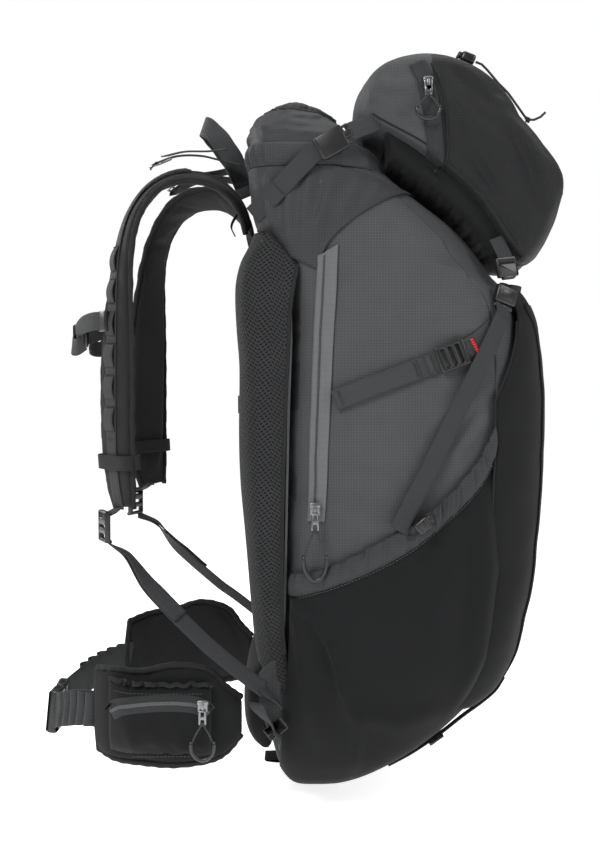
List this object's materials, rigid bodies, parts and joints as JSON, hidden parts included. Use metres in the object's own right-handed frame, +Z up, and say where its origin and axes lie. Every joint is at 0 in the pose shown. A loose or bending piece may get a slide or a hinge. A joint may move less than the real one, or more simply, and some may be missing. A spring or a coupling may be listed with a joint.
{
  "type": "avalanche airbag backpack",
  "caption": "Tall touring backpack with tilting lid, drawstring collar, stretch pockets, swinging shoulder straps, sternum strap and buckled hip belt.",
  "frame": {"origin": "middle of the haul loop, which the pack hangs by", "axes": "+Z up; +X to the pack's front, away from the wearer; -Y is the wearer's left"},
  "size_m": [0.5686, 0.3598, 0.7806],
  "materials": {
    "ripstop": "woven ripstop nylon, satin",
    "ripstop_dark": "woven ripstop nylon, darker, satin",
    "stretch": "knitted stretch fabric, matt",
    "mesh": "air mesh over foam, matt",
    "webbing": "woven webbing",
    "plastic": "moulded acetal, matt",
    "zip_tape": "coated zip tape",
    "metal": "dark nickel finish",
    "cord": "braided cord",
    "sheet": "polyethylene sheet"
  },
  "bodies": {
    "bag": {"back_pad": "mesh", "back_panel": "ripstop", "base_panel": "ripstop_dark", "collar": "ripstop_dark", "compression_strap_left": "webbing", "compression_strap_right": "webbing", "frame_sheet": "sheet", "frame_stay": "metal", "front_panel": "ripstop_dark", "front_pocket": "stretch", "front_strap_left": "webbing", "front_strap_right": "webbing", "haul_loop": "webbing", "hip_fin_left": "ripstop_dark", "hip_fin_right": "ripstop_dark", "ladder_lock_left": "plastic", "ladder_lock_right": "plastic", "lumbar_pad": "mesh", "rim_band": "ripstop_dark", "side_panel_left": "ripstop", "side_panel_right": "ripstop", "side_pocket_left": "stretch", "side_pocket_right": "stretch", "side_zip": "zip_tape", "tool_strap_left": "webbing", "tool_strap_right": "webbing"},
    "lid": {"lid_buckle_left": "plastic", "lid_buckle_right": "plastic", "lid_bungee": "cord", "lid_cord": "cord", "lid_lock": "plastic", "lid_pocket": "ripstop_dark", "lid_strap_left": "webbing", "lid_strap_right": "webbing", "lid_zip": "zip_tape"},
    "lid_slider": {"lid_zip_slider": "metal"},
    "lid_puller": {"lid_zip_ring": "plastic"},
    "side_slider": {"side_zip_slider": "metal"},
    "side_puller": {"side_zip_ring": "plastic"},
    "strap_left": {"load_lifter_left": "webbing", "lower_webbing_left": "webbing", "shoulder_pad_left": "mesh", "strap_lock_left": "plastic"},
    "strap_right": {"load_lifter_right": "webbing", "lower_webbing_right": "webbing", "shoulder_pad_right": "mesh", "strap_lock_right": "plastic"},
    "sternum_left": {"sternum_strap_left": "webbing"},
    "sternum_right": {"sternum_strap_right": "webbing"},
    "wing_left": {"hip_belt_left": "webbing", "hip_pad_left": "mesh", "hip_pocket": "ripstop_dark"},
    "wing_right": {"hip_belt_right": "webbing", "hip_pad_right": "mesh"},
    "hip_slider": {"hip_zip_slider": "metal"},
    "hip_puller": {"hip_zip_ring": "plastic"},
    "pocket_lock_left": {"pocket_lock_left": "plastic"},
    "pocket_lock_right": {"pocket_lock_right": "plastic"},
    "pocket_button_left": {"pocket_button_left": "plastic"},
    "pocket_button_right": {"pocket_button_right": "plastic"}
  },
  "joints": [
    {"name": "lid_open", "type": "hinge", "parent": "bag", "child": "lid", "pos_m": [0.06, 0, -0.111], "axis": [0, -1, 0], "range_deg": [0, 80]},
    {"name": "lid_zip_slide", "type": "slide", "parent": "lid", "child": "lid_slider", "axis": [0.104, 0, -0.9946], "range_m": [0, 0.065]},
    {"name": "lid_ring_swing", "type": "hinge", "parent": "lid_slider", "child": "lid_puller", "pos_m": [0.2355, -0.1345, 0.015], "axis": [-1, 0, 0], "range_deg": [0, 150]},
    {"name": "side_zip_slide", "type": "slide", "parent": "bag", "child": "side_slider", "axis": [0.0402, 0, 0.9992], "range_m": [0, 0.235]},
    {"name": "side_ring_swing", "type": "hinge", "parent": "side_slider", "child": "side_puller", "pos_m": [0.122, -0.16393, -0.412], "axis": [-1, 0, 0], "range_deg": [0, 150]},
    {"name": "hip_zip_slide", "type": "slide", "parent": "wing_left", "child": "hip_slider", "axis": [-1, 0, 0], "range_m": [0, 0.06]},
    {"name": "hip_ring_swing", "type": "hinge", "parent": "hip_slider", "child": "hip_puller", "pos_m": [0.011, -0.187, -0.604], "axis": [-1, 0, 0], "range_deg": [0, 150]},
    {"name": "strap_swing_left", "type": "hinge", "parent": "bag", "child": "strap_left", "pos_m": [0.062, -0.082, -0.094], "axis": [-0.0179, 0.1443, 0.9894], "range_deg": [0, 20]},
    {"name": "strap_swing_right", "type": "hinge", "parent": "bag", "child": "strap_right", "pos_m": [0.062, 0.082, -0.094], "axis": [0.0179, 0.1443, -0.9894], "range_deg": [0, 20]},
    {"name": "sternum_slide_left", "type": "slide", "parent": "strap_left", "child": "sternum_left", "axis": [0, 0, 1], "range_m": [-0.03, 0.03]},
    {"name": "sternum_slide_right", "type": "slide", "parent": "strap_right", "child": "sternum_right", "axis": [0, 0, 1], "range_m": [-0.03, 0.03]},
    {"name": "wing_open_left", "type": "hinge", "parent": "bag", "child": "wing_left", "pos_m": [0.055, -0.138, -0.621], "axis": [0, 0, 1], "range_deg": [0, 45]},
    {"name": "wing_open_right", "type": "hinge", "parent": "bag", "child": "wing_right", "pos_m": [0.055, 0.138, -0.621], "axis": [0, 0, -1], "range_deg": [0, 45]},
    {"name": "pocket_lock_slide_left", "type": "slide", "parent": "bag", "child": "pocket_lock_left", "axis": [0.7562, -0.004, 0.6543], "range_m": [-0.012, 0.012]},
    {"name": "pocket_button_press_left", "type": "slide", "parent": "pocket_lock_left", "child": "pocket_button_left", "axis": [-0.7562, 0.004, -0.6543], "range_m": [0, 0.003], "stiffness_N_per_m": 100, "springref_m": -0.003},
    {"name": "pocket_lock_slide_right", "type": "slide", "parent": "bag", "child": "pocket_lock_right", "axis": [0.7562, 0.004, 0.6543], "range_m": [-0.012, 0.012]},
    {"name": "pocket_button_press_right", "type": "slide", "parent": "pocket_lock_right", "child": "pocket_button_right", "axis": [-0.7562, -0.004, -0.6543], "range_m": [0, 0.003], "stiffness_N_per_m": 100, "springref_m": -0.003}
  ],
  "couplings": [
    {"joint": "sternum_slide_right", "follows": "sternum_slide_left", "ratio": 1}
  ]
}
